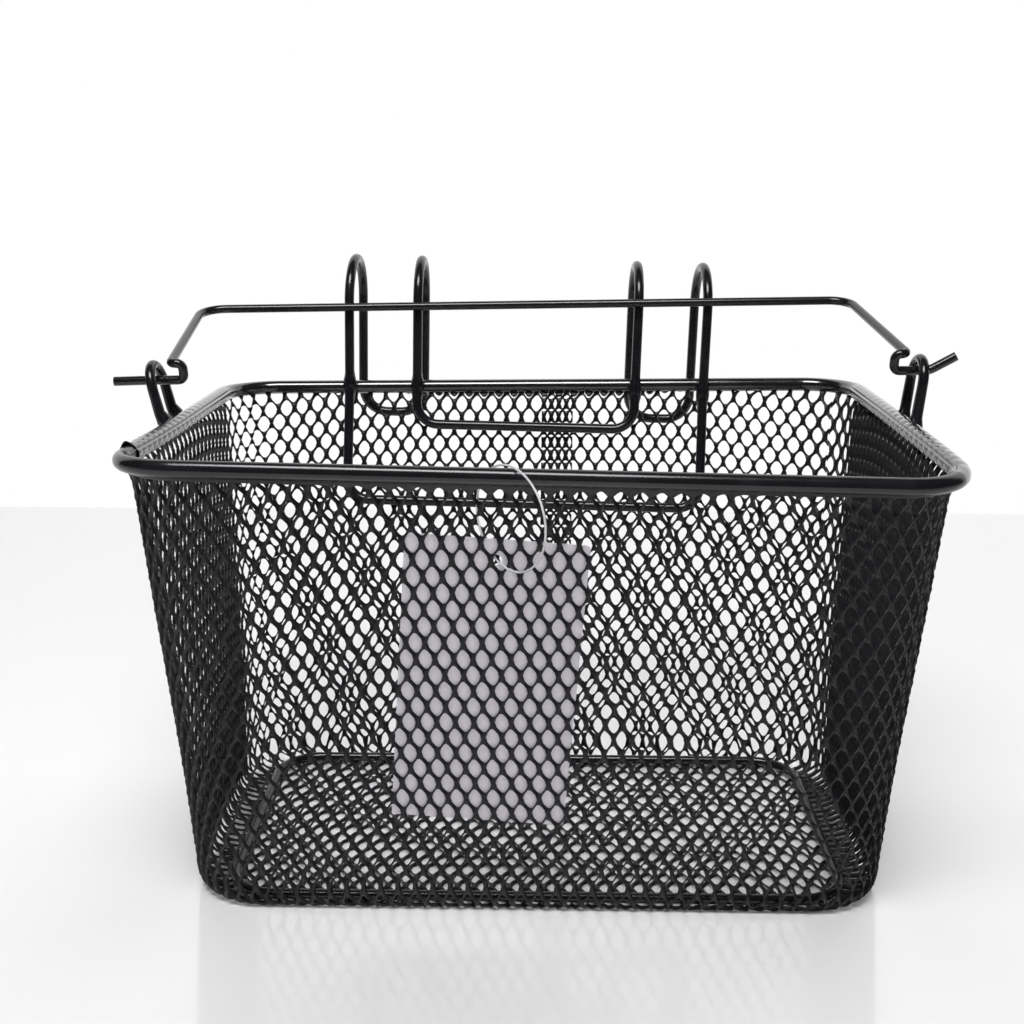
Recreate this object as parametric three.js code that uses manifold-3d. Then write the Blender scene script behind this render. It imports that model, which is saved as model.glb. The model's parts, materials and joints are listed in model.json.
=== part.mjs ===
// Handlebar bicycle basket of black coated expanded steel, in millimetres with +Z up.
// The front faces -Y, the handlebar hooks stand at the back, and the origin is the middle of the underside.
import * as THREE from "three";
import { mergeVertices } from "three/addons/utils/BufferGeometryUtils.js";
import Module from "manifold-3d";

const wasm = await Module();
wasm.setup();

// Rim: one round wire bent to a rounded rectangle, sizes over the bare wire
const RIM_WIDTH = 350;
const RIM_DEPTH = 240;
const RIM_HEIGHT = 204; // wire centre above the ground
const RIM_WIRE = 7.2;
const RIM_CORNER = 33; // bend radius of the wire's centreline
const RIM_BACK = 10.5; // middle of the rim, behind the middle of the base

// Hem: the edge of the wall mesh folded over the rim on the sides and the back
const HEM_THICKNESS = 0.8;
const HEM_OPENING = 40; // degrees left open at the bottom, on the outside
const HEM_SEAM = 65; // and on the inside, where the wall comes up

// Base: one round wire with the floor mesh inside it, sizes over the wire
const BASE_WIDTH = 285;
const BASE_DEPTH = 153;
const BASE_WIRE = 5;
const BASE_CORNER = 22;

// Wall: a loft from just inside the rim wire to a foot that turns in to the base wire, over its middle
const WALL_INSET = 2.5; // inside the rim wire's centreline
const FOOT_REACH = 15; // from the outside of the base wire to where the wall turns in, on the sides
const FOOT_FRONT = 4.5; // and at the front and the back
const FOOT_CORNER = 32;
const FOOT_HEIGHT = 12; // where the wall begins to turn in

// Expanded mesh: staggered diamonds, counted in columns round the wall and half steps down it
const SHEET = 1.2;
const FRONT_COLUMNS = 10;
const SIDE_COLUMNS = 6;
const CORNER_COLUMNS = 2;
const WALL_ROWS = 6;
const HOLE_SHARE = 0.74; // of a diamond's width and height that is open
const SELVEDGE = 3; // solid band along the edges of the wall and of its foot
const FLOOR_COLUMNS = 9;
const FLOOR_ROWS = 3;
const FLOOR_BAND = 4; // solid band round the floor

// Lap: where the two ends of the wall strip overlap on the back panel
const LAP_X = 9;
const LAP_WIDTH = 17;
const LAP_ROWS = 8;

// Hook frame: one closed wire with an outer and an inner U inside the back panel and two double hooks
const HOOK_WIRE = 5.3;
const HOOK_SHIFT = -7.2; // it is welded on off the middle
const HOOK_TILT = 1.2; // degrees, and not quite level
const OUTER_LEGS = 195.5; // spacing of the outer legs, centre to centre
const INNER_LEGS = 120.5;
const OUTER_REAR_LEGS = 191.5;
const INNER_REAR_LEGS = 119.5;
const OUTER_BAR_DROP = 62; // below the rim's centre
const INNER_BAR_DROP = 20;
const HOOK_RISE = 70.5; // top of the hooks above the rim's centre
const HOOK_REACH = 45; // front legs to rear legs, centre to centre
const HOOK_DROP = 22; // rear turns below the rim's centre
const BAR_BEND = 12;
const REAR_BEND = 14;

// Handle loops: one inverted U of wire on the outside of each side rim, bent by hand and not alike
const LOOP_WIRE = 5;
const LOOP_BACK = 16; // behind the middle of the rim
const LOOP_LEGS = 21; // spacing of the two legs, centre to centre
const LOOP_FOOT = 4; // below the rim's centre
const LEFT_LOOP_HEIGHT = 28.5; // along the lean, above the rim's centre
const LEFT_LOOP_LEAN = 13; // degrees outwards
const LEFT_LOOP_OUT = 2.4; // how far its legs bend out above their feet
const RIGHT_LOOP_HEIGHT = 33;
const RIGHT_LOOP_LEAN = 6;
const RIGHT_LOOP_OUT = 0.2;

// Handle: one wire whose curled ends pass out through the loops, measured from the middle of the basket
const HANDLE_WIRE = 4;
const LEFT_LEG = 178.3; // foot of the leg
const LEFT_CORNER = 183; // where it meets the crossbar
const LEFT_PLAY = 3; // below the top of the loop
const LEFT_TAIL = 20.8; // end of the tail, beyond the axis of the loop
const LEFT_TAIL_RISE = -0.3;
const RIGHT_LEG = 175.8;
const RIGHT_CORNER = 166.6;
const RIGHT_PLAY = 1;
const RIGHT_TAIL = 17.1;
const RIGHT_TAIL_RISE = 7;
const HANDLE_REST = 48; // crossbar above the rim's centre when it leans on the hooks
const HANDLE_BEND = 14;
const CURL_RISE = 8.5; // leg above the axis of the end in the loop
const CURL_DEPTH = 5.8; // how far the curl turns inwards
const CURL_BEND = 3;
const TAIL_START = 5; // where the tail's own bend begins, beyond the axis of the loop
const TAIL_BEND = 8;

// Swing tag: a blank card on a ring of nylon line round the front rim
const CARD_WIDTH = 75;
const CARD_HEIGHT = 132;
const CARD_THICKNESS = 0.6;
const CARD_CORNER = 2;
const CARD_HOLE = 5;
const CARD_HOLE_INSET = 9; // hole centre below the top edge
const CARD_TURN = -4; // degrees, as it hangs
const CARD_COLUMN = 4; // column of the front panel that the line goes through, the first being 0
const CARD_SHIFT = -3.5; // of the line from the middle of that column
const LINE = 0.9;

// Clearances
const SEAT = 0.3; // between pieces that touch
const JOIN = 0.4; // between neighbouring strips of the wall

// Facets
const WIRE_SIDES = 8;
const BEND_STEPS = 4; // in a right angle
const CORNER_STEPS = 5; // in a corner of the rim or the base
const RIM_SIDES = 10;
const HEM_STEPS = 7; // round the hem's section
const LINE_SIDES = 5;
const RING_STEPS = 20;
const CARD_STEPS = 4; // in a rounded corner of the card

const rad = THREE.MathUtils.degToRad;
const lerp = THREE.MathUtils.lerp;
const v3 = (x, y, z) => new THREE.Vector3(x, y, z);

const coatedSteel = new THREE.MeshStandardMaterial({ color: 0x1b1c1f, roughness: 0.38, metalness: 0.15 });
const card = new THREE.MeshStandardMaterial({ color: 0xa9a7ab, roughness: 0.8, metalness: 0 });
const nylon = new THREE.MeshStandardMaterial({ color: 0xe6e6ea, roughness: 0.25, metalness: 0 });

// A closed triangle mesh, its faces turned outwards.
function closedGeometry(points, triangles) {
  let volume = 0;
  for (const [a, b, c] of triangles) volume += points[a].dot(points[b].clone().cross(points[c]));
  const index = volume < 0 ? triangles.map(([a, b, c]) => [a, c, b]) : triangles;
  const geometry = new THREE.BufferGeometry().setFromPoints(points);
  geometry.setIndex(index.flat());
  geometry.computeVertexNormals();
  return geometry;
}

// The points of a bent wire: corners are { at, bend }, and each is rounded to its bend radius.
function bentPath(corners, closed = false) {
  const path = [];
  const count = corners.length;
  corners.forEach(({ at, bend = 0 }, i) => {
    const end = !closed && (i === 0 || i === count - 1);
    if (end || bend === 0) {
      path.push(at.clone());
      return;
    }
    const into = at.clone().sub(corners[(i + count - 1) % count].at).normalize();
    const out = corners[(i + 1) % count].at.clone().sub(at).normalize();
    const turn = into.angleTo(out);
    const inwards = out.clone().addScaledVector(into, -out.dot(into)).normalize();
    const start = at.clone().addScaledVector(into, -bend * Math.tan(turn / 2));
    const centre = start.clone().addScaledVector(inwards, bend);
    const steps = Math.max(1, Math.round((turn / (Math.PI / 2)) * BEND_STEPS));
    for (let k = 0; k <= steps; k++) {
      const a = (turn * k) / steps;
      const p = centre.clone().addScaledVector(inwards, -bend * Math.cos(a));
      path.push(p.addScaledVector(into, bend * Math.sin(a)));
    }
  });
  // Where two bends meet, their shared point is kept once.
  return path.filter((p, i) => i === 0 || p.distanceTo(path[i - 1]) > 0.05);
}

// A profile of [normal, sideways] points swept along a path. With up the profile stays upright.
function sweep(profile, path, { closed = false, up = null } = {}) {
  const count = path.length;
  const step = (i) => path[(i + 1) % count].clone().sub(path[i % count]).normalize();
  const tangents = path.map((_, i) => {
    if (!closed && i === 0) return step(0);
    if (!closed && i === count - 1) return step(count - 2);
    return step(i).add(step((i + count - 1) % count)).normalize();
  });
  const first = Math.abs(tangents[0].x) < 0.9 ? v3(1, 0, 0) : v3(0, 1, 0);
  const normals = [(up ?? first).clone().projectOnPlane(tangents[0]).normalize()];
  for (let i = 1; i < count; i++) {
    normals.push((up ?? normals[i - 1]).clone().projectOnPlane(tangents[i]).normalize());
  }
  const around = profile.length;
  const points = [];
  path.forEach((p, i) => {
    const sideways = tangents[i].clone().cross(normals[i]);
    for (const [n, s] of profile) {
      points.push(p.clone().addScaledVector(normals[i], n).addScaledVector(sideways, s));
    }
  });
  const triangles = [];
  const rings = closed ? count : count - 1;
  for (let i = 0; i < rings; i++) {
    const a = i * around;
    const b = ((i + 1) % count) * around;
    for (let k = 0; k < around; k++) {
      const next = (k + 1) % around;
      triangles.push([a + k, a + next, b + next], [a + k, b + next, b + k]);
    }
  }
  if (!closed) {
    const outline = profile.map(([n, s]) => new THREE.Vector2(n, s));
    const last = (count - 1) * around;
    for (const [a, b, c] of THREE.ShapeUtils.triangulateShape(outline, [])) {
      triangles.push([a, c, b], [last + a, last + b, last + c]);
    }
  }
  return closedGeometry(points, triangles);
}

// A round section whose flats face up and down where the sweep is upright.
function round(diameter, sides = WIRE_SIDES) {
  return Array.from({ length: sides }, (_, k) => {
    const a = ((k + 0.5) / sides) * 2 * Math.PI;
    return [(diameter / 2) * Math.cos(a), (diameter / 2) * Math.sin(a)];
  });
}
const flatHeight = (diameter) => (diameter / 2) * Math.cos(Math.PI / WIRE_SIDES);

// Rounded rectangles are followed side by side: front, right, back, left, each with the corner after it.
const rimLoop = {
  width: RIM_WIDTH - RIM_WIRE,
  depth: RIM_DEPTH - RIM_WIRE,
  corner: RIM_CORNER,
  y: RIM_BACK,
};
const baseLoop = {
  width: BASE_WIDTH - BASE_WIRE,
  depth: BASE_DEPTH - BASE_WIRE,
  corner: BASE_CORNER,
  y: 0,
};
const footLoop = {
  width: BASE_WIDTH + 2 * FOOT_REACH,
  depth: BASE_DEPTH + 2 * FOOT_FRONT,
  corner: FOOT_CORNER,
  y: 0,
};
const inset = (loop, by) => ({
  width: loop.width - 2 * by,
  depth: loop.depth - 2 * by,
  corner: loop.corner - by,
  y: loop.y,
});

function sideOf(loop, side) {
  const angle = (side * Math.PI) / 2;
  const along = new THREE.Vector2(Math.cos(angle), Math.sin(angle));
  const out = new THREE.Vector2(Math.sin(angle), -Math.cos(angle));
  const [length, across] = side % 2 === 0 ? [loop.width, loop.depth] : [loop.depth, loop.width];
  const middle = new THREE.Vector2(0, loop.y);
  return { along, out, half: length / 2 - loop.corner, away: across / 2, middle };
}

function onSide(loop, side, t) {
  const { along, out, half, away, middle } = sideOf(loop, side);
  return middle.addScaledVector(out, away).addScaledVector(along, half * (2 * t - 1));
}

function onCorner(loop, side, t) {
  const { along, out, half, away, middle } = sideOf(loop, side);
  const a = (t * Math.PI) / 2;
  return middle
    .addScaledVector(out, away - loop.corner + loop.corner * Math.cos(a))
    .addScaledVector(along, half + loop.corner * Math.sin(a));
}

function loopPath(loop, z) {
  const path = [];
  for (let side = 0; side < 4; side++) {
    for (let k = 0; k <= CORNER_STEPS; k++) {
      const p = onCorner(loop, side, k / CORNER_STEPS);
      path.push(v3(p.x, p.y, z));
    }
  }
  return path;
}

// The wall stands just inside the rim wire, under it, and ends where its foot begins.
const wallLoop = inset(rimLoop, WALL_INSET);
const wallTop = RIM_HEIGHT - Math.sqrt((RIM_WIRE / 2 + SEAT) ** 2 - (WALL_INSET - SHEET / 2) ** 2);
const wallFoot = FOOT_HEIGHT + SEAT;
const columnsOf = (side) => (side % 2 === 0 ? FRONT_COLUMNS : SIDE_COLUMNS);

// A place on a loop, so many columns along from the start of one side.
function onLoopAt(loop, side, column) {
  const pastSide = column - columnsOf(side);
  const pastCorner = pastSide - CORNER_COLUMNS;
  if (pastCorner > 0) return onLoopAt(loop, (side + 1) % 4, pastCorner);
  if (pastSide > 0) return onCorner(loop, side, pastSide / CORNER_COLUMNS);
  return onSide(loop, side, column / columnsOf(side));
}

// A point of the wall, v down it.
function wallPoint(side, column, v) {
  const p = onLoopAt(wallLoop, side, column).lerp(onLoopAt(footLoop, side, column), v);
  return v3(p.x, p.y, lerp(wallTop, wallFoot, v));
}

// A point of the foot, which turns in a quarter of an ellipse from the wall to the side of the base wire.
const footEnd = inset(baseLoop, -flatHeight(BASE_WIRE) - SEAT);
function footPoint(side, column, v) {
  const a = (v * Math.PI) / 2;
  const p = onLoopAt(footEnd, side, column).lerp(onLoopAt(footLoop, side, column), Math.cos(a));
  return v3(p.x, p.y, lerp(FOOT_HEIGHT, SHEET / 2, Math.sin(a)));
}

// A surface's points with their normals, for a side of it.
function surfaceOf(pointAt, side) {
  const d = 0.01;
  return (column, v) => {
    const across = pointAt(side, column + d, v).sub(pointAt(side, column - d, v));
    const down = pointAt(side, column, v + d).sub(pointAt(side, column, v - d));
    return { at: pointAt(side, column, v), normal: down.cross(across).normalize() };
  };
}

const wallDrop = wallTop - wallFoot;
const frontLean = Math.atan2((wallLoop.depth - footLoop.depth) / 2 - wallLoop.y, wallDrop);
const backLean = Math.atan2((wallLoop.depth - footLoop.depth) / 2 + wallLoop.y, wallDrop);
const selvedge = (SELVEDGE / wallDrop) * Math.cos(frontLean);
const rowStep = (rows, edge) => (1 - 2 * edge) / rows;

// One strip of expanded mesh between two columns. Whole diamonds stand at levels 1 to rows - 1, and the
// selvedges, each that share of the strip, cut those of the first and last level in half. At every other
// level the diamonds sit half a column over. Of those that straddle the strip's ends, a strip with open ends
// has none and one with full ends has both, so that strips interlock, and a ring has one.
function meshStrip(surface, { from, to, rows, pitch, edge, ends }) {
  const points = [];
  const triangles = [];
  const found = new Map();
  const gap = JOIN / 2 / pitch;
  const over = { open: [0.5, 0.5], full: [-0.5, -0.5], ring: [-0.5, 0.5] }[ends];
  const reach = (level) => (level % 2 === 1 ? [from, to] : [from + over[0], to - over[1]]);
  const point = (column, level, v = edge + level * rowStep(rows, edge)) => {
    const place = ends === "ring" ? (column + to) % to : column;
    const key = `${place.toFixed(4)} ${v.toFixed(6)}`;
    if (!found.has(key)) {
      const [left, right] = reach(level);
      const shift = ends === "ring" ? 0 : column === left ? gap : column === right ? -gap : 0;
      found.set(key, points.length);
      points.push(surface(place + shift, v));
    }
    return found.get(key);
  };
  const quad = (a, b, c, d) => triangles.push([a, b, c], [a, c, d]);
  for (let level = 0; level <= rows; level++) {
    const [left, right] = reach(level);
    for (let c = left + 0.5; c < right; c++) {
      const [l, r] = [-0.5, 0.5].map((s) => point(c + s * HOLE_SHARE, level));
      const [L, R] = [-0.5, 0.5].map((s) => point(c + s, level));
      if (level > 0) {
        const [t, T] = [point(c, level - HOLE_SHARE), point(c, level - 1)];
        quad(R, T, t, r);
        quad(T, L, l, t);
      }
      if (level < rows) {
        const [b, B] = [point(c, level + HOLE_SHARE), point(c, level + 1)];
        quad(L, B, b, l);
        quad(B, R, r, b);
      }
      if (level === 0) {
        const [p, m, q] = [-0.5, 0, 0.5].map((s) => point(c + s, level, 0));
        triangles.push([p, L, l], [p, l, m], [m, l, r], [m, r, q], [q, r, R]);
      }
      if (level === rows) {
        const [p, m, q] = [-0.5, 0, 0.5].map((s) => point(c + s, level, 1));
        triangles.push([L, p, l], [l, p, m], [l, m, r], [r, m, q], [r, q, R]);
      }
    }
  }
  return { points, triangles };
}

// A triangulated surface given a thickness: points are { at, normal }.
function thickSheet({ points, triangles }, thickness) {
  const count = points.length;
  const half = thickness / 2;
  const face = (h) => points.map(({ at, normal }) => at.clone().addScaledVector(normal, h));
  const faces = [];
  const edges = new Set();
  for (const [a, b, c] of triangles) {
    faces.push([a, b, c], [c + count, b + count, a + count]);
    for (const [p, q] of [[a, b], [b, c], [c, a]]) edges.add(`${p} ${q}`);
  }
  for (const edge of edges) {
    const [p, q] = edge.split(" ").map(Number);
    if (!edges.has(`${q} ${p}`)) faces.push([q, p, p + count], [q, p + count, q + count]);
  }
  return closedGeometry([...face(half), ...face(-half)], faces);
}

const pitchOf = (side) => (2 * sideOf(wallLoop, side).half) / columnsOf(side);

function wallStrip(side, from, to, ends) {
  const strip = { from, to, rows: WALL_ROWS, pitch: pitchOf(side), edge: selvedge, ends };
  return thickSheet(meshStrip(surfaceOf(wallPoint, side), strip), SHEET);
}

// The foot goes all the way round, with half diamonds along both of its edges.
function footRing() {
  const to = 2 * (FRONT_COLUMNS + SIDE_COLUMNS) + 4 * CORNER_COLUMNS;
  const edge = SELVEDGE / (FOOT_HEIGHT + FOOT_REACH);
  const strip = { from: 0, to, rows: 1, pitch: pitchOf(0), edge, ends: "ring" };
  return thickSheet(meshStrip(surfaceOf(footPoint, 0), strip), SHEET);
}

// The lap lies on the outside of the back panel, its diamonds as narrow as the overlap is.
function lapStrip() {
  const side = 2;
  const pitch = pitchOf(side);
  const middle = FRONT_COLUMNS / 2 - LAP_X / pitch;
  const wall = surfaceOf(wallPoint, side);
  const surface = (column, v) => {
    const { at, normal } = wall(middle + (column * LAP_WIDTH) / 2 / pitch, v);
    return { at: at.addScaledVector(normal, SHEET + SEAT), normal };
  };
  const strip = { from: -0.5, to: 0.5, rows: LAP_ROWS, pitch: LAP_WIDTH / 2, edge: selvedge, ends: "full" };
  return thickSheet(meshStrip(surface, strip), SHEET);
}

// Solids for cutting: a closed geometry by its positions alone, and back.
function solidOf(geometry) {
  const bare = geometry.clone();
  bare.deleteAttribute("normal");
  bare.deleteAttribute("uv");
  const { index, attributes } = mergeVertices(bare);
  const triVerts = new Uint32Array(index.array);
  return new wasm.Manifold(
    new wasm.Mesh({ numProp: 3, vertProperties: attributes.position.array, triVerts }),
  );
}

function geometryOf(solid) {
  const { vertProperties, triVerts } = solid.getMesh();
  const geometry = new THREE.BufferGeometry();
  geometry.setAttribute("position", new THREE.BufferAttribute(vertProperties, 3));
  geometry.setIndex(new THREE.BufferAttribute(triVerts, 1));
  geometry.computeVertexNormals();
  return geometry;
}

// The floor: a sheet just inside the base wire, with staggered diamonds cut within its band. They are long
// from front to back, halved at the band, and leave solid mesh at the very middle.
function floorGeometry() {
  const edge = BASE_WIRE / 2;
  const besideWire = Math.min(edge * Math.sin(Math.PI / WIRE_SIDES) + SHEET, flatHeight(BASE_WIRE)) + SEAT;
  const plate = (outline, depth, z) => {
    const shape = new THREE.Shape(outline.map(({ x, y }) => new THREE.Vector2(x, y)));
    const geometry = new THREE.ExtrudeGeometry(shape, { depth, bevelEnabled: false });
    return solidOf(geometry.translate(0, 0, z));
  };
  const clear = inset(baseLoop, besideWire + FLOOR_BAND);
  const halfWidth = clear.width / FLOOR_COLUMNS / 2;
  const halfLength = clear.depth / FLOOR_ROWS / 2;
  const [w, l] = [HOLE_SHARE * halfWidth, HOLE_SHARE * halfLength];
  const through = [3 * SHEET, -SHEET];
  let pattern = null;
  for (let i = -FLOOR_COLUMNS; i <= FLOOR_COLUMNS; i++) {
    for (let j = -FLOOR_ROWS; j <= FLOOR_ROWS; j++) {
      if ((i + j) % 2 === 0) continue;
      const [x, y] = [i * halfWidth, j * halfLength];
      const diamond = plate([v3(x - w, y), v3(x, y - l), v3(x + w, y), v3(x, y + l)], ...through);
      pattern = pattern ? pattern.add(diamond) : diamond;
    }
  }
  const cut = pattern.intersect(plate(loopPath(clear, 0), ...through));
  return geometryOf(plate(loopPath(inset(baseLoop, besideWire), 0), SHEET, 0).subtract(cut));
}

// The hem's section opens downwards over the wall's top edge, and its flats clear the wire.
const hemInner = rad(HEM_SEAM - 180);
const hemOuter = rad(180 - HEM_OPENING);
const hemInside = (RIM_WIRE / 2 + SEAT) / Math.cos((hemOuter - hemInner) / HEM_STEPS / 2);
const hemOutside = hemInside + HEM_THICKNESS;
function hemGeometry() {
  const arc = (radius, k) => {
    const a = lerp(hemInner, hemOuter, k / HEM_STEPS);
    return [radius * Math.cos(a), radius * Math.sin(a)];
  };
  const profile = [];
  for (let k = 0; k <= HEM_STEPS; k++) profile.push(arc(hemOutside, k));
  for (let k = HEM_STEPS; k >= 0; k--) profile.push(arc(hemInside, k));
  const path = [onSide(rimLoop, 1, 0)];
  for (const side of [1, 2]) {
    for (let k = 0; k <= CORNER_STEPS; k++) path.push(onCorner(rimLoop, side, k / CORNER_STEPS));
  }
  path.push(onSide(rimLoop, 3, 1));
  return sweep(profile, path.map((p) => v3(p.x, p.y, RIM_HEIGHT)), { up: v3(0, 0, 1) });
}

// The front legs of the hook frame touch the hem at the rim and the back panel at the outer bar.
const rimBack = rimLoop.y + rimLoop.depth / 2;
const hookLegY = rimBack - hemOutside - SEAT - HOOK_WIRE / 2;
const rimTopOfHooks = RIM_HEIGHT + HOOK_RISE - HOOK_WIRE / 2;
const outerBarZ = RIM_HEIGHT - OUTER_BAR_DROP;
const innerBarZ = RIM_HEIGHT - INNER_BAR_DROP;
const hookTiltDrop = (OUTER_LEGS / 2) * Math.sin(rad(HOOK_TILT));
const panelY = rimBack - WALL_INSET - (wallTop - outerBarZ + hookTiltDrop) * Math.tan(backLean);
const outerBarY = panelY - (SHEET / 2 + SEAT + HOOK_WIRE / 2) / Math.cos(backLean);
const innerBarY = lerp(hookLegY, outerBarY, INNER_BAR_DROP / OUTER_BAR_DROP);

function hookGeometry() {
  const rearY = hookLegY + HOOK_REACH;
  const top = HOOK_REACH / 2;
  const rearZ = RIM_HEIGHT - HOOK_DROP;
  const half = [
    { at: v3(OUTER_LEGS / 2, outerBarY, outerBarZ), bend: BAR_BEND },
    { at: v3(OUTER_LEGS / 2, hookLegY, RIM_HEIGHT) },
    { at: v3(OUTER_LEGS / 2, hookLegY, rimTopOfHooks), bend: top },
    { at: v3(OUTER_REAR_LEGS / 2, rearY, rimTopOfHooks), bend: top },
    { at: v3(OUTER_REAR_LEGS / 2, rearY, rearZ), bend: REAR_BEND },
    { at: v3(INNER_REAR_LEGS / 2, rearY, rearZ), bend: REAR_BEND },
    { at: v3(INNER_REAR_LEGS / 2, rearY, rimTopOfHooks), bend: top },
    { at: v3(INNER_LEGS / 2, hookLegY, rimTopOfHooks), bend: top },
    { at: v3(INNER_LEGS / 2, hookLegY, RIM_HEIGHT) },
    { at: v3(INNER_LEGS / 2, innerBarY, innerBarZ), bend: BAR_BEND },
  ];
  const mirrored = half.map(({ at, bend }) => ({ at: v3(-at.x, at.y, at.z), bend })).reverse();
  const level = sweep(round(HOOK_WIRE), bentPath([...half, ...mirrored], true), { closed: true });
  return level
    .translate(0, 0, -RIM_HEIGHT)
    .rotateY(rad(HOOK_TILT))
    .translate(HOOK_SHIFT, 0, RIM_HEIGHT);
}

// The loops lean out from the hem, and the handle turns just under the tops of them.
const loopY = rimLoop.y + LOOP_BACK;
const ends = {
  left: {
    sign: -1,
    height: LEFT_LOOP_HEIGHT,
    lean: rad(LEFT_LOOP_LEAN),
    out: LEFT_LOOP_OUT,
    play: LEFT_PLAY,
    leg: LEFT_LEG,
    corner: LEFT_CORNER,
    tail: LEFT_TAIL,
    tailRise: LEFT_TAIL_RISE,
  },
  right: {
    sign: 1,
    height: RIGHT_LOOP_HEIGHT,
    lean: rad(RIGHT_LOOP_LEAN),
    out: RIGHT_LOOP_OUT,
    play: RIGHT_PLAY,
    leg: RIGHT_LEG,
    corner: RIGHT_CORNER,
    tail: RIGHT_TAIL,
    tailRise: RIGHT_TAIL_RISE,
  },
};

// A place on a loop, y behind its middle, s up along its lean and out beside the hem.
function onLoop({ sign, lean, out }, y, s, beside = out) {
  const x = rimLoop.width / 2 + (hemOutside + SEAT + LOOP_WIRE / 2) / Math.cos(lean) + beside;
  return v3(sign * (x + s * Math.sin(lean)), loopY + y, RIM_HEIGHT + s * Math.cos(lean));
}

function loopGeometry(end) {
  const arch = LOOP_LEGS / 2;
  const crown = end.height - LOOP_WIRE / 2;
  return sweep(
    round(LOOP_WIRE),
    bentPath([
      { at: onLoop(end, -arch, -LOOP_FOOT, 0) },
      { at: onLoop(end, -arch, LOOP_FOOT) },
      { at: onLoop(end, -arch, crown), bend: arch },
      { at: onLoop(end, arch, crown), bend: arch },
      { at: onLoop(end, arch, LOOP_FOOT) },
      { at: onLoop(end, arch, -LOOP_FOOT, 0) },
    ]),
  );
}

// The handle's axis runs from one loop to the other. In its own frame +X goes along the axis, +Y along the
// legs and +Z square to them.
const pivotOf = (end) => onLoop(end, 0, end.height - LOOP_WIRE - end.play - HANDLE_WIRE / 2);
const axis = pivotOf(ends.right).sub(pivotOf(ends.left));
const axisTilt = Math.atan2(axis.z, axis.x);
const pivot = pivotOf(ends.left).addScaledVector(axis, 0.5);
const crossbarY = hookLegY - HOOK_WIRE / 2 - SEAT - HANDLE_WIRE / 2;
const toCrossbar = new THREE.Vector2(crossbarY - pivot.y, RIM_HEIGHT + HANDLE_REST - pivot.z);
const legLength = Math.sqrt(toCrossbar.lengthSq() - CURL_RISE ** 2);
const handleLean = toCrossbar.angle() - Math.atan2(CURL_RISE, legLength);

function handleGeometry() {
  const half = ({ sign, leg, corner, tail, tailRise }) => {
    const legX = sign * leg - pivot.x;
    const curlX = legX - sign * CURL_DEPTH;
    const loopX = (sign * axis.length()) / 2;
    return [
      { at: v3(loopX + sign * tail, 0, tailRise) },
      { at: v3(loopX + sign * TAIL_START, 0, 0), bend: TAIL_BEND },
      { at: v3(curlX, 0, 0), bend: CURL_BEND },
      { at: v3(curlX, 0, CURL_RISE), bend: CURL_BEND },
      { at: v3(legX, 0, CURL_RISE), bend: CURL_DEPTH - CURL_BEND },
      { at: v3(sign * corner - pivot.x, legLength, CURL_RISE), bend: HANDLE_BEND },
    ];
  };
  return sweep(round(HANDLE_WIRE), bentPath([...half(ends.left), ...half(ends.right).reverse()]));
}

// The line goes once round the rim and through the first whole diamonds.
const threaded = wallPoint(0, CARD_COLUMN + 0.5, selvedge + rowStep(WALL_ROWS, selvedge));
const lineTop = RIM_HEIGHT + RIM_WIRE / 2 + SEAT + LINE / 2;
const ringRadius = (lineTop - threaded.z) / 2;
const ringCentre = v3(threaded.x + CARD_SHIFT, rimLoop.y - rimLoop.depth / 2, lineTop - ringRadius);

// Where the ring meets the card, which lies on the inside of the front panel, in the ring's own frame.
const downWall = new THREE.Vector2(Math.sin(frontLean), -Math.cos(frontLean));
const intoBasket = new THREE.Vector2(Math.cos(frontLean), Math.sin(frontLean));
const cardStart = new THREE.Vector2(WALL_INSET, wallTop - ringCentre.z)
  .addScaledVector(intoBasket, SHEET / 2 + SEAT + CARD_THICKNESS / 2);
const downCard = -cardStart.dot(downWall);
const holeAlong = downCard + Math.sqrt(downCard ** 2 - cardStart.lengthSq() + ringRadius ** 2);
const cardHole = cardStart.clone().addScaledVector(downWall, holeAlong);

function cardGeometry() {
  const [w, top] = [CARD_WIDTH / 2, CARD_HOLE_INSET];
  const foot = top - CARD_HEIGHT;
  const r = CARD_CORNER;
  const shape = new THREE.Shape();
  shape.moveTo(-w + r, foot);
  shape.lineTo(w - r, foot);
  shape.quadraticCurveTo(w, foot, w, foot + r);
  shape.lineTo(w, top - r);
  shape.quadraticCurveTo(w, top, w - r, top);
  shape.lineTo(-w + r, top);
  shape.quadraticCurveTo(-w, top, -w, top - r);
  shape.lineTo(-w, foot + r);
  shape.quadraticCurveTo(-w, foot, -w + r, foot);
  shape.holes.push(new THREE.Path().absarc(0, 0, CARD_HOLE / 2, 0, 2 * Math.PI, true));
  const geometry = new THREE.ExtrudeGeometry(shape, {
    depth: CARD_THICKNESS,
    bevelEnabled: false,
    curveSegments: CARD_STEPS,
  });
  geometry.translate(0, 0, -CARD_THICKNESS / 2);
  return geometry;
}

function piece(name, geometry, material = coatedSteel) {
  const mesh = new THREE.Mesh(geometry, material);
  mesh.name = name;
  return mesh;
}

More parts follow.
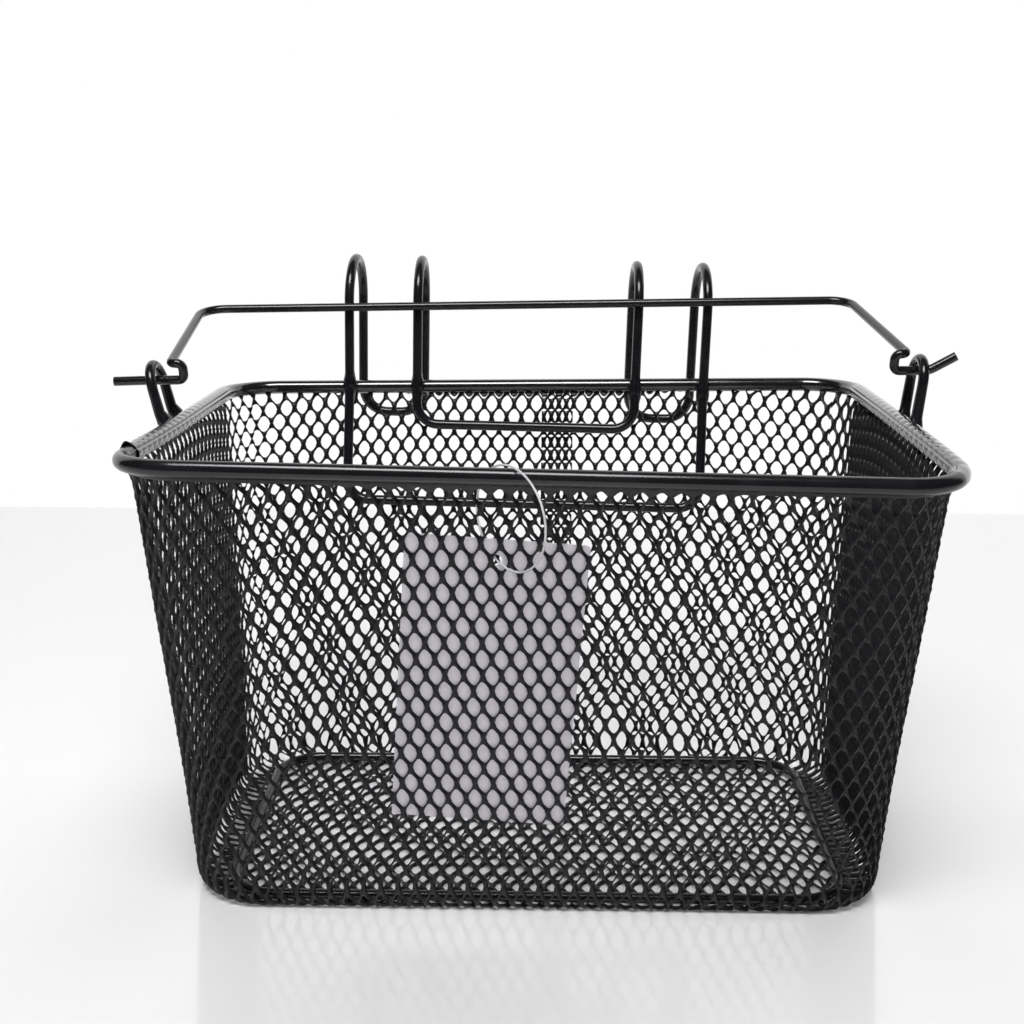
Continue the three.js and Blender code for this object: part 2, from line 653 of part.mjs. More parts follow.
const upright = { closed: true, up: v3(0, 0, 1) };
const basket = new THREE.Group();
basket.add(
  piece("rim_wire", sweep(round(RIM_WIRE, RIM_SIDES), loopPath(rimLoop, RIM_HEIGHT), upright)),
  piece("rim_hem", hemGeometry()),
  piece("base_frame", sweep(round(BASE_WIRE), loopPath(baseLoop, flatHeight(BASE_WIRE)), upright)),
  piece("base_mesh", floorGeometry()),
  piece("wall_foot", footRing()),
  piece("wall_lap", lapStrip()),
  piece("hook_frame", hookGeometry()),
);
["front", "right", "back", "left"].forEach((name, side) => {
  basket.add(piece(`wall_${name}`, wallStrip(side, 0, columnsOf(side), "open")));
});
["front_right", "back_right", "back_left", "front_left"].forEach((name, side) => {
  const start = columnsOf(side);
  basket.add(piece(`corner_${name}`, wallStrip(side, start, start + CORNER_COLUMNS, "full")));
});
for (const [name, end] of Object.entries(ends)) {
  basket.add(piece(`handle_loop_${name}`, loopGeometry(end)));
}

const handle = new THREE.Group();
handle.position.copy(pivot);
handle.rotation.set(handleLean, -axisTilt, 0, "YXZ");
handle.add(piece("handle_bail", handleGeometry()));

const tag = new THREE.Group();
tag.position.copy(ringCentre);
const ring = piece("tag_loop", new THREE.TorusGeometry(ringRadius, LINE / 2, LINE_SIDES, RING_STEPS), nylon);
ring.rotation.y = Math.PI / 2;
const hung = new THREE.Group();
hung.position.set(0, cardHole.x, cardHole.y);
hung.rotation.x = Math.PI / 2 + frontLean;
const tagCard = piece("tag_card", cardGeometry(), card);
tagCard.rotation.z = rad(CARD_TURN);
hung.add(tagCard);
tag.add(ring, hung);

basket.add(handle, tag);

export default basket;
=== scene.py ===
"""A handlebar bicycle basket of dipped expanded steel, dressed on its solid frame."""
import json
import math

import bpy
import numpy as np
from bpy.props import FloatProperty, FloatVectorProperty, IntProperty, PointerProperty
from mathutils import Matrix, Vector


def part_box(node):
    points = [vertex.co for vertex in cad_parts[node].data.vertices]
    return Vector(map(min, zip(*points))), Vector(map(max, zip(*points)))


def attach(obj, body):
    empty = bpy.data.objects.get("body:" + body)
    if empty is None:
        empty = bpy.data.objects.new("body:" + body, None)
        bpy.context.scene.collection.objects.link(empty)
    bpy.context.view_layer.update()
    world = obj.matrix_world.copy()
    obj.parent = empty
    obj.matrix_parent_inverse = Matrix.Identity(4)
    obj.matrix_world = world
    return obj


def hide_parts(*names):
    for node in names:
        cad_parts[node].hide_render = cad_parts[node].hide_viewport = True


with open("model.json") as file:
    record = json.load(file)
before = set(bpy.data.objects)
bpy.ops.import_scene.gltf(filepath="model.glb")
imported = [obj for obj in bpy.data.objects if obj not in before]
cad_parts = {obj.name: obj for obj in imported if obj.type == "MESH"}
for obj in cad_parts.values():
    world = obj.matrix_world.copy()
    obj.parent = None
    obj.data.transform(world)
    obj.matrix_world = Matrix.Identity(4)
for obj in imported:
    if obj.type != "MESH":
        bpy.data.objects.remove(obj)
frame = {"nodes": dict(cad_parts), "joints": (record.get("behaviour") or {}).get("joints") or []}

bl_info = {
    "name": "Bicycle basket",
    "version": (1, 0, 0),
    "blender": (4, 5, 0),
    "location": "View3D > Sidebar > Basket",
    "description": "Models the mesh, wires, welds and swing tag of a handlebar basket",
    "category": "Add Mesh",
}

MM = 0.001
CLOSE = 0.02 * MM  # points of a wire nearer than this are one
WELD = 0.01 * MM  # and points of a mesh
SMOOTH_ANGLE = math.radians(60)
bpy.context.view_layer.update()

# Places taken from the solid frame
RIM_LOW, RIM_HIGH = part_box("rim_wire")
BASE_LOW, BASE_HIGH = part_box("base_frame")
FOOT_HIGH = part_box("wall_foot")[1]
WALL_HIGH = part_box("wall_front")[1]
RING_LOW, RING_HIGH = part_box("tag_loop")
JOINTS = {joint["name"]: joint for joint in frame["joints"]}

RIM_Z = (RIM_LOW.z + RIM_HIGH.z) / 2
RIM_Y = (RIM_LOW.y + RIM_HIGH.y) / 2
RIM_CORNER = 27 * MM
WALL_CORNER = 33 * MM
BASE_X = BASE_HIGH.x - (BASE_HIGH.z - BASE_LOW.z) / 2
BASE_Y = BASE_HIGH.y - (BASE_HIGH.z - BASE_LOW.z) / 2
BASE_Z = 3.9 * MM
BASE_CORNER = 22 * MM
SHEET = 1.2 * MM  # thickness of the solid frame's mesh
FOOT_X = FOOT_HIGH.x - SHEET / 2
FOOT_Y = FOOT_HIGH.y - SHEET / 2
FOOT_Z = FOOT_HIGH.z
FOOT_CORNER = 32 * MM
SIDES = ("front", "right", "back", "left")
CORNERS = {
    "front": ("corner_front_left", "corner_front_right", "wall_foot"),
    "back": ("corner_back_left", "corner_back_right"),
}


def linear(hex_colour):
    """An sRGB hex colour as linear values with full alpha."""
    parts = [int(hex_colour[i:i + 2], 16) / 255 for i in (0, 2, 4)]
    return [p / 12.92 if p <= 0.04045 else ((p + 0.055) / 1.055) ** 2.4 for p in parts] + [1.0]


def length(name, description, millimetres):
    """A length setting, given in millimetres."""
    return FloatProperty(name=name, description=description, default=millimetres * MM,
                         min=0.0, precision=4, subtype="DISTANCE", unit="LENGTH")


def share(name, description, default):
    """A setting from nought to one."""
    return FloatProperty(name=name, description=description, default=default,
                         min=0.0, max=1.0, subtype="FACTOR")


def number(name, description, default):
    """A number of diamonds."""
    return IntProperty(name=name, description=description, default=default, min=4)


def colour(name, description, hex_colour):
    """A colour setting, given as an sRGB hex value."""
    return FloatVectorProperty(name=name, description=description, default=linear(hex_colour),
                               size=4, min=0.0, max=1.0, subtype="COLOR")


class BasketSizes(bpy.types.PropertyGroup):
    """Sizes of the wires, the expanded mesh and the tag"""

    rim_wire: length("Rim wire", "Diameter of the rim wire with its coating", 7.2)
    base_wire: length("Base wire", "Diameter of the wire in the roll round the base", 4.8)
    hook_wire: length("Hook wire", "Diameter of the hook frame's wire", 5.3)
    loop_wire: length("Loop wire", "Diameter of the wire of the handle loops", 5.0)
    handle_wire: length("Handle wire", "Diameter of the handle's wire", 4.5)
    line: length("Nylon line", "Diameter of the line that carries the tag", 0.9)
    pitch: length("Diamond pitch", "Spacing of the diamonds round the wall", 8.0)
    half_row: length("Half row", "Spacing of the staggered rows down the wall", 7.5)
    strand: length("Strand thickness", "Thickness of the mesh with its coating", 1.1)
    hole_width: share("Hole width", "Open share of a diamond's width", 0.75)
    hole_height: share("Hole height", "Open share of a diamond's height", 0.6)
    back_hole_height: share("Back hole height", "Open share of a diamond's height on the back", 0.61)
    corner_dip: length("Corner dip", "How far the rows of diamonds sink towards the corners", 10.0)
    corner_reach: length("Corner reach", "How far from a corner that shows", 38.0)
    selvedge: length("Selvedge", "Lower edge of the solid band, below the middle of the rim wire", 4.7)
    front_columns: number("Front columns", "Diamonds along the front, corner to corner", 40)
    side_columns: number("Side columns", "Diamonds along a side, corner to corner", 27)
    back_columns: number("Back columns", "Diamonds along the back, corner to corner", 38)


class BasketColours(bpy.types.PropertyGroup):
    """Colours of the finishes and of the stage"""

    coating: colour("Coating", "Black vinyl that the steel is dipped in", "18181b")
    # a shade lighter than the coating: painted sheen for the light along the strands' edges
    mesh: colour("Mesh", "Thin vinyl on the strands of the mesh", "1c1c1f")
    coating_worn: colour("Thin coating", "Vinyl where it is thin or dusty", "2a2a2d")
    card: colour("Card", "Face of the swing tag", "e9e4eb")
    card_fibre: colour("Card fibre", "Darker fibres in the tag", "dcd7de")
    line: colour("Line", "Clear nylon of the line", "f2f2f4")
    table: colour("Table", "White table under the basket", "f0f0f1")
    backdrop: colour("Backdrop", "White backdrop behind the table", "ffffff")


def sizes():
    return bpy.context.scene.basket_sizes


def colours():
    return bpy.context.scene.basket_colours


# Small helpers for modelling


def deselect():
    """Object mode with nothing selected."""
    if bpy.context.object and bpy.context.object.mode != "OBJECT":
        bpy.ops.object.mode_set(mode="OBJECT")
    bpy.ops.object.select_all(action="DESELECT")


def pick(obj):
    """Makes one object the only selected and the active one."""
    deselect()
    obj.select_set(True)
    bpy.context.view_layer.objects.active = obj
    return obj


def edit(obj, *steps):
    """Runs edit mode steps on the whole of a mesh."""
    pick(obj)
    bpy.ops.object.mode_set(mode="EDIT")
    for step in steps:
        bpy.ops.mesh.select_all(action="SELECT")
        step()
    bpy.ops.object.mode_set(mode="OBJECT")


def weld_doubles():
    bpy.ops.mesh.remove_doubles(threshold=WELD)


def turn_outwards():
    bpy.ops.mesh.normals_make_consistent(inside=False)


def modify(obj, kind, **settings):
    """Adds a modifier with its settings and applies it."""
    pick(obj)
    modifier = obj.modifiers.new(kind.title(), kind)
    for name, value in settings.items():
        setattr(modifier, name, value)
    bpy.ops.object.modifier_apply(modifier=modifier.name)


def reshape(obj, change):
    """Moves all points of a mesh by a function of their places."""
    places = np.empty(len(obj.data.vertices) * 3)
    obj.data.vertices.foreach_get("co", places)
    obj.data.vertices.foreach_set("co", change(places.reshape(-1, 3)).ravel())
    obj.data.update()


def copy_of(obj):
    """A copy with its own mesh."""
    twin = obj.copy()
    twin.data = obj.data.copy()
    bpy.context.scene.collection.objects.link(twin)
    return twin


def join(first, *others):
    """Joins pieces to one object."""
    pick(first)
    for piece in others:
        piece.select_set(True)
    bpy.ops.object.join()
    return first


def trim(obj, point, outwards):
    """Cuts off what lies beyond a plane and closes the cut."""
    cut = {"plane_co": point, "plane_no": outwards, "use_fill": True, "clear_outer": True}
    edit(obj, lambda: bpy.ops.mesh.bisect(**cut))


def finish(obj, name, body, slot, material, *nodes):
    """Names a finished piece, gives it its material and hangs it on its body."""
    pick(obj)
    obj.name = name
    obj.data.name = name
    obj.data.materials.clear()
    obj.data.materials.append(material)
    bpy.ops.object.shade_smooth_by_angle(angle=SMOOTH_ANGLE)
    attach(obj, body)
    if nodes:
        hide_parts(*nodes)


def bend_path(corners, closed=False, steps=10):
    """Points of a wire bent at corners, each given as a place and a bend radius."""
    path = []
    count = len(corners)
    for i, (at, bend) in enumerate(corners):
        at = Vector(at)
        if bend == 0 or (not closed and i in (0, count - 1)):
            path.append(at)
            continue
        into = (at - Vector(corners[i - 1][0])).normalized()
        out = (Vector(corners[(i + 1) % count][0]) - at).normalized()
        turn = into.angle(out)
        inwards = (out - into * out.dot(into)).normalized()
        start = at - into * (bend * math.tan(turn / 2))
        parts = max(2, round(turn / (math.pi / 2) * steps))
        for k in range(parts + 1):
            angle = turn * k / parts
            path.append(start + inwards * bend * (1 - math.cos(angle)) + into * bend * math.sin(angle))
    kept = path[:1]
    for point in path[1:]:
        if (point - kept[-1]).length > CLOSE:
            kept.append(point)
    if closed and (kept[0] - kept[-1]).length < CLOSE:
        kept.pop()
    return kept


def wire(path, diameter, closed=False, swell=None, rounding=7):
    """A round wire along a path. Swell gives the share of its radius at each point."""
    deselect()
    bpy.ops.curve.primitive_bezier_curve_add()
    curve = bpy.context.object
    curve.data.splines.clear()
    spline = curve.data.splines.new("POLY")
    spline.points.add(len(path) - 1)
    for i, place in enumerate(path):
        spline.points[i].co = (*place, 1)
        spline.points[i].radius = swell[i] if swell else 1.0
    spline.use_cyclic_u = closed
    curve.data.dimensions = "3D"
    curve.data.bevel_depth = diameter / 2
    curve.data.bevel_resolution = rounding
    curve.data.use_fill_caps = not closed
    bpy.ops.object.convert(target="MESH")
    tube = bpy.context.object
    edit(tube, weld_doubles, turn_outwards)
    return tube


def soften_ends(tube, ends, width):
    """Rounds the cut ends of a wire."""
    pick(tube)
    bpy.ops.object.mode_set(mode="EDIT")
    bpy.ops.mesh.select_all(action="DESELECT")
    bpy.ops.object.mode_set(mode="OBJECT")
    for face in tube.data.polygons:
        if len(face.vertices) > 4 and any((face.center - Vector(end)).length < width for end in ends):
            face.select = True
    bpy.ops.object.mode_set(mode="EDIT")
    bpy.ops.mesh.select_mode(type="FACE")
    bpy.ops.mesh.bevel(offset=width, segments=2, affect="EDGES")
    bpy.ops.object.mode_set(mode="OBJECT")


def flat_grid(columns, rows):
    """A unit grid from nought to one both ways."""
    deselect()
    bpy.ops.mesh.primitive_grid_add(x_subdivisions=columns, y_subdivisions=rows, size=1)
    grid = bpy.context.object
    reshape(grid, lambda p: p + np.array([0.5, 0.5, 0.0]))
    return grid


# The loops of the rim and the base, followed side by side


def half_length(half_along, corner):
    """From the middle of a side to the middle of its corner."""
    return half_along - corner + corner * math.pi / 4


def along_side(half_along, half_across, corner, distance):
    """Places along a side and out from the middle, by the distance from the side's middle."""
    straight = half_along - corner
    angle = np.maximum(np.abs(distance) - straight, 0) / corner
    along = np.sign(distance) * (np.minimum(np.abs(distance), straight) + corner * np.sin(angle))
    return along, half_across - corner + corner * np.cos(angle)


def turned(side, along, out, height):
    """Points in the basket's own frame."""
    angle = SIDES.index(side) * math.pi / 2
    x = along * math.cos(angle) + out * math.sin(angle)
    y = along * math.sin(angle) - out * math.cos(angle)
    return np.stack([x, y, height + 0 * x], axis=1)


def halves_of(side, half_x, half_y):
    """Half a loop along a side, and across it."""
    return (half_x, half_y) if side in ("front", "back") else (half_y, half_x)


def rim_half(side):
    """Half the rim along a side and across it, to the middle of the wire."""
    half_wire = sizes().rim_wire / 2
    return halves_of(side, RIM_HIGH.x - half_wire, RIM_HIGH.y - RIM_Y - half_wire)


def columns_of(side):
    s = sizes()
    return {"front": s.front_columns, "back": s.back_columns}.get(side, s.side_columns)


def loop_points(half_x, half_y, corner, middle_y, height, steps=12):
    """Points of a rounded rectangle, corner after corner."""
    points = []
    for i, (sx, sy) in enumerate(((1, 1), (-1, 1), (-1, -1), (1, -1))):
        centre = Vector((sx * (half_x - corner), middle_y + sy * (half_y - corner), height))
        for k in range(steps + 1):
            angle = math.pi / 2 * (i + k / steps)
            points.append(centre + Vector((math.cos(angle), math.sin(angle), 0)) * corner)
    return points


# The wall: a loft of expanded mesh from the rim to a foot that turns in under the base wire

SLANT = 0.981  # height lost for each length down the mesh
WALL_INSET = 2.5 * MM  # of the wall inside the middle of the rim wire
FLARE_START = 3.6 * MM
FLARE_LENGTH = 3.0 * MM
FOOT_LENGTH = 13.5 * MM  # of mesh in the foot
FOOT_BEND = 0.65  # below one, the foot turns in more squarely than a round
FOOT_END = 1.0 * MM  # outside the middle of the base wire
SIDE_SAG = 2.4 * MM  # how far the sides bow in, low down
SAG_HEIGHT = 68 * MM
SAG_REACH = 34 * MM
TOP_SPREAD = 0.0283  # how much wider the pitch gets towards a corner along the rim
FOOT_SPREAD = -0.045  # and along the foot
COLUMN_PHASE = 0.17  # of a column, where the first diamonds stand from the middle of the front
TOP_SHIFT = -0.13  # of a column, by which the mesh is skewed along the rim
FIRST_ROW = 6.65 * MM  # its middle on the front, below the middle of the rim wire
BACK_FIRST_ROW = 9.6 * MM
BACK_ROWS = 0.947  # height of the rows on the back, where the mesh is drawn wider
BACK_SHIFT = 0.11  # of a column
BACK_SELVEDGE = 0.6  # depth of the selvedge on the back
FRONT_TILT = 0.0187  # how far the front rim falls to the right
BACK_TILT = -0.0117  # and the back rim
FRONT_REACH = 4  # the higher, the closer to the front its fall stays
FRONT_LEVEL = 15 * MM  # where the front rim has its own height
BACK_LEVEL = -96 * MM
SLAT = 0.72 * MM  # how far the edges of a strand lean out of the sheet, like a slat
STRAND_SHARE = 0.14  # half the width of a strand, as a share of a diamond's half width
LEAN_LIMIT = 1.3  # of the slat's lean, at the edge of a hole
LEAN_EASE = 0.1  # over which it changes sides at the tips of a diamond
REST_SHARE = 0.6  # of the lean that a sheet lies on
CELL_POINTS = 12
HOLE_POWER = 1.6  # below two, a hole is nearer to a diamond than to an oval
SHOULDER_PLACE = 0.42  # of a strand's half width
SHOULDER_HEIGHT = 0.82  # of its half thickness
ACROSS_STEP = 0.02  # of a column, for the slope of the wall
DOWN_STEP = 0.05 * MM
WALL_TOP = 0.5 * MM  # of the mesh, below the middle of the rim wire
FOOT_STOP = 0.1 * MM  # before the end of the foot, where its slope is lost
ROWS_ABOVE = 4
ROWS_IN_ALL = 36
LAP_LIFT = 1.35 * MM  # of the lap over the other end of the strip
LAP_SHORT = 2 * MM  # how far above the foot it ends
BAND = 1.8 * MM  # thickness of the selvedge
BAND_TOP = 1.0 * MM
BAND_STEPS = 8  # for each diamond
ARCH = 3.2 * MM  # height of the arched tops of the half diamonds under the selvedge


def sheet_rest():
    """How far the middle of a sheet stands above what it lies on."""
    return sizes().strand / 2 + REST_SHARE * SLAT


def wall_length():
    """Length of mesh from the rim down to where the foot turns in."""
    return (RIM_Z - FOOT_Z) / SLANT


def outline(side, halves, corner, middle_y, column_share, spread):
    """Points of a level outline at a share of a side's columns, which spread towards the corner."""
    part = (column_share + spread * column_share ** 3) / (1 + spread)
    along, out = along_side(*halves, corner, part * half_length(halves[0], corner))
    return turned(side, along, out, 0.0) + np.array([0, middle_y, 0])


def wall_places(side, column, down):
    """Points of the middle of the wall, by columns from a side's middle and length down the mesh."""
    column_share = column / (columns_of(side) / 2)
    turn = np.clip((down - wall_length()) / FOOT_LENGTH, 0, 1) * math.pi / 2
    rest = sheet_rest()
    under = np.sin(turn) ** FOOT_BEND
    height = np.where(turn > 0, FOOT_Z - (FOOT_Z - rest) * under, RIM_Z - down * SLANT)
    fall = np.where(turn > 0, 1.0, (WALL_HIGH.z - height) / (WALL_HIGH.z - FOOT_Z))[:, None]
    inset = WALL_INSET * (1 - np.exp(-np.maximum(down - FLARE_START, 0) / FLARE_LENGTH))
    top_halves = [half - inset for half in rim_half(side)]
    top_share = (column + TOP_SHIFT) / (columns_of(side) / 2)
    top = outline(side, top_halves, WALL_CORNER - inset, RIM_Y, top_share, TOP_SPREAD)
    foot_spread = FOOT_SPREAD if side in ("front", "back") else 0.0
    foot = outline(side, halves_of(side, FOOT_X, FOOT_Y), FOOT_CORNER, 0.0, column_share, foot_spread)
    end_halves = halves_of(side, BASE_X + FOOT_END, BASE_Y + FOOT_END)
    end = outline(side, end_halves, BASE_CORNER + FOOT_END, 0.0, column_share, foot_spread)
    places = top + fall * (foot - top) + (end - foot) * (1 - np.cos(turn) ** FOOT_BEND)[:, None]
    if side in ("left", "right"):
        sag = SIDE_SAG * np.exp(-((height - SAG_HEIGHT) / SAG_REACH) ** 2 / 2)
        places[:, 0] -= np.sign(places[:, 0]) * sag * np.clip(1 - column_share ** 2, 0, 1)
    places[:, 2] = height
    return places


def lift(places_of, across, down, height):
    """Points at a height above a surface, square to it."""
    slope_across = places_of(across + ACROSS_STEP, down) - places_of(across - ACROSS_STEP, down)
    slope_down = places_of(across, down + DOWN_STEP) - places_of(across, down - DOWN_STEP)
    normal = np.cross(slope_down, slope_across)
    normal /= np.linalg.norm(normal, axis=1, keepdims=True)
    return places_of(across, down) + normal * height[:, None]


def expanded_cell(hole_height):
    """One diamond of dipped mesh: a rounded hole, and strands with a ridge along their middle."""
    s = sizes()
    deselect()
    bpy.ops.mesh.primitive_circle_add(vertices=CELL_POINTS, radius=1)
    cell = bpy.context.object
    still = {"TRANSFORM_OT_translate": {"value": (0, 0, 0)}}
    bpy.ops.object.mode_set(mode="EDIT")
    bpy.ops.mesh.select_all(action="SELECT")
    for _ in range(2):
        bpy.ops.mesh.extrude_edges_move(**still)
    bpy.ops.object.mode_set(mode="OBJECT")

    def shape(places):
        ring = np.repeat([0, 1, 2], CELL_POINTS)
        angle = np.arctan2(places[:, 1], places[:, 0])
        step = np.round(angle / (2 * math.pi / CELL_POINTS)).astype(int) % CELL_POINTS
        per_side = CELL_POINTS // 4
        quarter, part = step // per_side, (step % per_side) / per_side
        ends = np.array([[1, 0], [0, 1], [-1, 0], [0, -1]])
        border = ends[quarter] * (1 - part)[:, None] + ends[(quarter + 1) % 4] * part[:, None]
        reach = ((np.abs(border[:, 0]) / s.hole_width) ** HOLE_POWER
                 + (np.abs(border[:, 1]) / hole_height) ** HOLE_POWER) ** (-1 / HOLE_POWER)
        hole = border * reach[:, None]
        inwards = np.choose(ring, [0.0, SHOULDER_PLACE, 1.0])[:, None]
        flat = hole + (border - hole) * inwards
        rise = np.choose(ring, [0.0, SHOULDER_HEIGHT, 1.0]) * s.strand / 2
        return np.stack([flat[:, 0] * s.pitch / 2, flat[:, 1] * s.half_row, rise], axis=1)

    reshape(cell, shape)
    modify(cell, "MIRROR", use_axis=(False, False, True), merge_threshold=0.001 * MM)

    def lean(places):
        across, along = places[:, 0] / (s.pitch / 2), places[:, 1] / s.half_row
        inside = np.clip((1 - np.abs(across) - np.abs(along)) / STRAND_SHARE, 0, LEAN_LIMIT)
        tip = SLAT * inside * across / (np.abs(across) + LEAN_EASE)
        return places + np.stack([0 * tip, 0 * tip, tip], axis=1)

    reshape(cell, lean)
    return cell


def expanded_sheet(columns, rows, hole_height):
    """A flat sheet of staggered diamonds, its first diamond at the origin and its rows going down."""
    s = sizes()
    sheet = expanded_cell(hole_height)
    repeat = {"fit_type": "FIXED_COUNT", "use_relative_offset": False, "use_constant_offset": True,
              "use_merge_vertices": True, "merge_threshold": WELD}
    steps = ((2, s.pitch / 2, -s.half_row), (columns, s.pitch, 0), (rows // 2, 0, -2 * s.half_row))
    for count, across, down in steps:
        modify(sheet, "ARRAY", count=count, constant_offset_displace=(across, down, 0), **repeat)
    edit(sheet, weld_doubles)
    return sheet


def wall_sheet(hole_height):
    """A flat sheet that sides of the wall are cut from."""
    s = sizes()
    columns = s.front_columns + 4
    sheet = expanded_sheet(columns, ROWS_IN_ALL, hole_height)
    start = np.array([-(columns // 2) * s.pitch, ROWS_ABOVE * s.half_row - FIRST_ROW, 0])
    reshape(sheet, lambda p: p + start)
    return sheet


def phase_of(side):
    """Where the diamonds of a side stand, as a share of a column."""
    counts = [columns_of(name) for name in SIDES]
    before = sum((counts[i] + counts[i + 1]) / 2 for i in range(SIDES.index(side)))
    return (COLUMN_PHASE + (BACK_SHIFT if side == "back" else 0) - before) % 1.0


def way_back(side, column):
    """How far round from the front to the back a column stands, from nought to one."""
    part = column / columns_of(side) + 0.5
    return {"front": 0 * part, "right": part, "back": 0 * part + 1, "left": 1 - part}[side]


def corner_dip(side, column):
    """How far the rows of diamonds sink towards the corners of a side."""
    s = sizes()
    near = (columns_of(side) / 2 - np.abs(column)) * s.pitch
    return s.corner_dip * np.exp(-(near / s.corner_reach) ** 2 / 2)


def wall_piece(sheet, side, low, high, foot, shift=0.0, lifted=0.0):
    """A piece of the wall between two columns, cut from the flat sheet and wrapped to its side."""
    pitch = sizes().pitch
    phase = (phase_of(side) + shift) % 1.0
    piece = copy_of(sheet)

    def sink(p):
        column = p[:, 0] / pitch + phase
        back = way_back(side, column)
        first = FIRST_ROW + (BACK_FIRST_ROW - FIRST_ROW) * back
        down = first - (p[:, 1] + FIRST_ROW) * (1 + (BACK_ROWS - 1) * back) + corner_dip(side, column)
        return np.stack([column * pitch, -down, p[:, 2]], axis=1)

    reshape(piece, sink)
    trim(piece, (low * pitch, 0, 0), (-1, 0, 0))
    trim(piece, (high * pitch, 0, 0), (1, 0, 0))
    trim(piece, (0, -WALL_TOP, 0), (0, 1, 0))
    trim(piece, (0, -foot, 0), (0, -1, 0))

    def wrap(p):
        down = np.minimum(-p[:, 1], foot - FOOT_STOP)
        return lift(lambda c, d: wall_places(side, c, d), p[:, 0] / pitch, down, p[:, 2] + lifted)

    reshape(piece, wrap)
    edit(piece, turn_outwards)
    return piece


def settle(places):
    """Points of the rim and the wall as they stand, with the rim a little out of true."""
    back = (places[:, 1] - RIM_LOW.y) / (RIM_HIGH.y - RIM_LOW.y)
    front_fall = FRONT_TILT * (places[:, 0] - FRONT_LEVEL) * np.clip(1 - back, 0, 2) ** FRONT_REACH
    back_fall = BACK_TILT * (places[:, 0] - BACK_LEVEL) * back
    fall = (front_fall + back_fall) * places[:, 2] / RIM_Z
    return places - np.stack([0 * fall, 0 * fall, fall], axis=1)


def wall_band(side):
    """The solid selvedge of a side, just under the rim, arched over each half diamond."""
    s = sizes()
    count = columns_of(side)
    band = flat_grid(count * BAND_STEPS, 4)

    def shape(p):
        column = (p[:, 0] - 0.5) * count
        level = np.exp(-corner_dip(side, column) / MM)
        arch = ARCH * level * (1 - np.cos(2 * math.pi * (column - phase_of(side)))) / 2
        edge = s.selvedge * (1 + (BACK_SELVEDGE - 1) * way_back(side, column))
        down = BAND_TOP + p[:, 1] * (edge + arch - BAND_TOP)
        return lift(lambda c, d: wall_places(side, c, d), column, down, 0 * down)

    reshape(band, shape)
    modify(band, "SOLIDIFY", thickness=BAND, offset=0.0)
    modify(band, "BEVEL", width=0.4 * MM, segments=2, limit_method="ANGLE", angle_limit=math.radians(50))
    edit(band, turn_outwards)
    return band


class BASKET_OT_wall(bpy.types.Operator):
    """Wraps the expanded mesh round the wall, one piece for each side with its half corners"""

    bl_idname = "basket.wall"
    bl_label = "Wall mesh"

    def execute(self, context):
        s = sizes()
        sheet = wall_sheet(s.hole_height)
        back_sheet = wall_sheet(s.back_hole_height)
        for side in SIDES:
            reach = columns_of(side) / 2
            cut_from = back_sheet if side == "back" else sheet
            piece = wall_piece(cut_from, side, -reach, reach, wall_length() + FOOT_LENGTH)
            piece = join(piece, wall_band(side))
            reshape(piece, settle)
            nodes = (f"wall_{side}", *CORNERS.get(side, ()))
            finish(piece, f"mesh_{side}", "basket", "coated_steel", dipped_mesh(), *nodes)
        low, high = (-corner.x / s.pitch for corner in reversed(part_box("wall_lap")))
        foot = wall_length() - LAP_SHORT
        lap = wall_piece(back_sheet, "back", low, high, foot, shift=0.5, lifted=LAP_LIFT)
        reshape(lap, settle)
        finish(lap, "mesh_lap", "basket", "coated_steel", dipped_mesh(), "wall_lap")
        bpy.data.objects.remove(sheet)
        bpy.data.objects.remove(back_sheet)
        return {"FINISHED"}


class BASKET_OT_floor(bpy.types.Operator):
    """Lays the mesh of the floor inside the base wire, its diamonds long from front to back"""

    bl_idname = "basket.floor"
    bl_label = "Floor mesh"

    def execute(self, context):
        s = sizes()
        columns = math.ceil(BASE_X / s.pitch) + 1
        rows = 2 * (math.ceil(BASE_Y / s.half_row / 2) + 1)
        floor = expanded_sheet(2 * columns, 2 * rows, s.hole_height)
        start = np.array([-columns * s.pitch, rows * s.half_row, sheet_rest()])
        reshape(floor, lambda p: p + start)
        for sx in (-1, 1):
            trim(floor, (sx * BASE_X, 0, 0), (sx, 0, 0))
        for sy in (-1, 1):
            trim(floor, (0, sy * BASE_Y, 0), (0, sy, 0))
        for sx in (-1, 1):
            for sy in (-1, 1):
                centre = Vector((sx * (BASE_X - BASE_CORNER), sy * (BASE_Y - BASE_CORNER), 0))
                for degrees in (22.5, 45, 67.5):
                    angle = math.radians(degrees)
                    way = Vector((sx * math.cos(angle), sy * math.sin(angle), 0))
                    trim(floor, centre + way * BASE_CORNER, way)
        edit(floor, turn_outwards)
        finish(floor, "mesh_floor", "basket", "coated_steel", dipped_mesh(), "base_mesh")
        return {"FINISHED"}


class BASKET_OT_base(bpy.types.Operator):
    """Bends the wire that holds the foot of the wall mesh"""

    bl_idname = "basket.base"
    bl_label = "Base wire"

    def execute(self, context):
        path = loop_points(BASE_X, BASE_Y, BASE_CORNER, 0.0, BASE_Z)
        ring = wire(path, sizes().base_wire, closed=True)
        finish(ring, "wire_base", "basket", "coated_steel", dipped_vinyl(), "base_frame")
        return {"FINISHED"}


# The rim and the hem of mesh that is folded over it on the sides and the back

